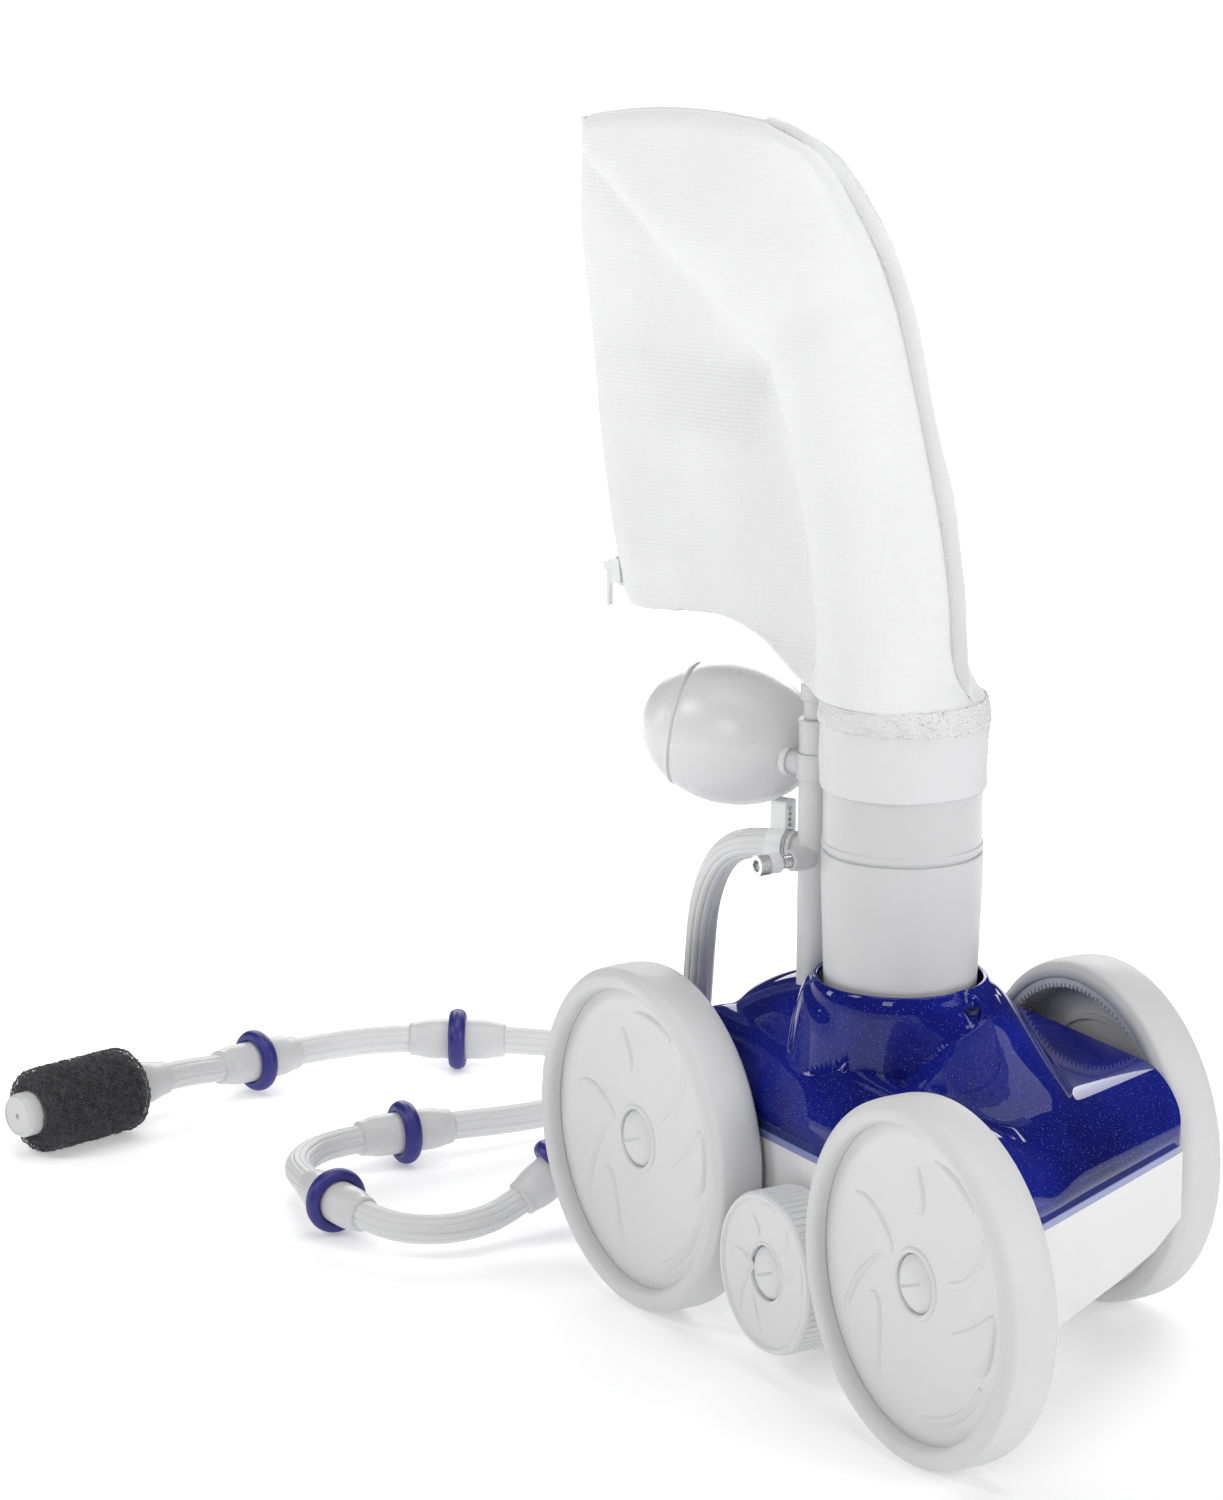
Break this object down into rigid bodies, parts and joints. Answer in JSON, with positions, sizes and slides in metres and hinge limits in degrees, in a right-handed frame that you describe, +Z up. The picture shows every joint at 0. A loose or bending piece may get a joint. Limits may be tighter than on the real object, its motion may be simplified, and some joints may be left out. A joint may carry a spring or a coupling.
{
  "type": "pool cleaner",
  "caption": "Wheeled pressure-side pool cleaner with a blue cover, upright debris bag, float and ribbed sweep hose with wear rings and a foam scrubber.",
  "frame": {"origin": "on the floor, midway between the two near wheels and midway between the outer wheel faces", "axes": "+X the rolling direction, to the front; +Y along the axles, from the two-wheel side to the single wheel; +Z up"},
  "size_m": [0.6956, 0.3622, 0.553],
  "materials": {
    "white_shell": "satin",
    "blue_cover": "glossy with fine metal flakes",
    "white_screw": "satin",
    "cuff_fabric": "smooth coated cloth",
    "elastic": "fuzzy knit",
    "bag_mesh": "fine mesh",
    "seam_tape": "folded tape",
    "zip": "moulded",
    "white_float": "satin",
    "clamp_nylon": "natural nylon",
    "steel": "bright",
    "grey_plastic": "moulded",
    "black_plastic": "moulded",
    "white_wheel": "satin",
    "white_tyre": "soft matt",
    "hose": "ribbed, satin",
    "hose_collar": "satin",
    "wear_ring": "satin",
    "foam": "open-cell foam"
  },
  "bodies": {
    "root": {"lower_housing": "white_shell", "top_cover": "blue_cover", "cover_screws": "white_screw", "vacuum_tube": "white_shell", "bag_collar": "white_shell", "feed_pipe": "white_shell", "feed_coupling": "white_shell", "float_front": "white_float", "float_rear": "white_float", "float_arm": "white_shell", "hose_fitting": "white_shell", "hose_clamp": "clamp_nylon", "venturi_jets": "grey_plastic", "water_manifold": "grey_plastic", "turbine_housing": "grey_plastic", "turbine_cover": "grey_plastic", "shaft_bushes": "black_plastic", "thrust_jet_socket": "grey_plastic", "wheel_screws": "white_screw", "idler_screw": "white_screw", "sweep_hose": "hose", "hose_collars": "hose_collar", "wear_rings": "wear_ring", "scrubber_neck": "hose_collar", "scrubber_foam": "foam", "scrubber_cap": "hose_collar"},
    "debris_bag_body": {"bag_cuff": "cuff_fabric", "bag_elastic_band": "elastic", "debris_bag": "bag_mesh", "bag_edge_seam": "seam_tape", "zip_chain": "zip"},
    "zip_slider_body": {"zip_slider": "zip"},
    "zip_pull_body": {"zip_pull": "zip"},
    "front_wheel": {"front_wheel_disc": "white_wheel", "front_tyre": "white_tyre", "front_wheel_bearing": "steel"},
    "rear_wheel": {"rear_wheel_disc": "white_wheel", "rear_tyre": "white_tyre", "rear_wheel_bearing": "steel"},
    "side_wheel": {"side_wheel_disc": "white_wheel", "side_tyre": "white_tyre", "side_wheel_bearing": "steel"},
    "idler": {"idler_wheel": "white_wheel", "idler_bearing": "steel"},
    "turbine": {"turbine_rotor": "black_plastic", "drive_shaft": "steel", "rear_drive_pinion": "black_plastic", "side_drive_pinion": "black_plastic"},
    "thrust_nozzle": {"thrust_jet_nozzle": "white_screw"},
    "hose_screw": {"adjusting_screw": "steel", "screw_bush": "white_screw"}
  },
  "joints": [
    {"name": "rear_wheel_spin", "type": "hinge", "parent": "root", "child": "rear_wheel", "pos_m": [-0.1133, -0.092, 0.08], "axis": [0, 1, 0], "continuous": true},
    {"name": "front_wheel_spin", "type": "hinge", "parent": "root", "child": "front_wheel", "pos_m": [0.1133, -0.092, 0.08], "axis": [0, 1, 0], "continuous": true},
    {"name": "side_wheel_spin", "type": "hinge", "parent": "root", "child": "side_wheel", "pos_m": [-0.0194, 0.092, 0.08], "axis": [0, 1, 0], "continuous": true},
    {"name": "idler_spin", "type": "hinge", "parent": "root", "child": "idler", "pos_m": [0, -0.091, 0.0502], "axis": [0, 1, 0], "continuous": true},
    {"name": "turbine_spin", "type": "hinge", "parent": "root", "child": "turbine", "pos_m": [-0.06635, 0, 0.09], "axis": [0, 1, 0], "continuous": true},
    {"name": "bag_lift", "type": "slide", "parent": "root", "child": "debris_bag_body", "axis": [0, 0, 1], "range_m": [0, 0.06]},
    {"name": "zip_slide", "type": "slide", "parent": "debris_bag_body", "child": "zip_slider_body", "axis": [-0.0917, -0.0459, 0.9947], "range_m": [0, 0.195]},
    {"name": "zip_pull_swing", "type": "hinge", "parent": "zip_slider_body", "child": "zip_pull_body", "pos_m": [-0.1555, -0.08875, 0.33911], "axis": [-0.4472, 0.8944, 0], "range_deg": [0, 100]},
    {"name": "thrust_nozzle_tilt", "type": "hinge", "parent": "root", "child": "thrust_nozzle", "pos_m": [-0.124, -0.01, 0.082], "axis": [0, 1, 0], "range_deg": [-18, 18]},
    {"name": "hose_screw_turn", "type": "hinge", "parent": "root", "child": "hose_screw", "pos_m": [-0.0555, -0.06, 0.219], "axis": [0, -1, 0], "range_deg": [0, 1080]}
  ],
  "couplings": [
    {"joint": "front_wheel_spin", "follows": "rear_wheel_spin", "ratio": 1},
    {"joint": "side_wheel_spin", "follows": "rear_wheel_spin", "ratio": 1},
    {"joint": "idler_spin", "follows": "rear_wheel_spin", "ratio": -2.1739},
    {"joint": "turbine_spin", "follows": "rear_wheel_spin", "ratio": 3.4}
  ]
}
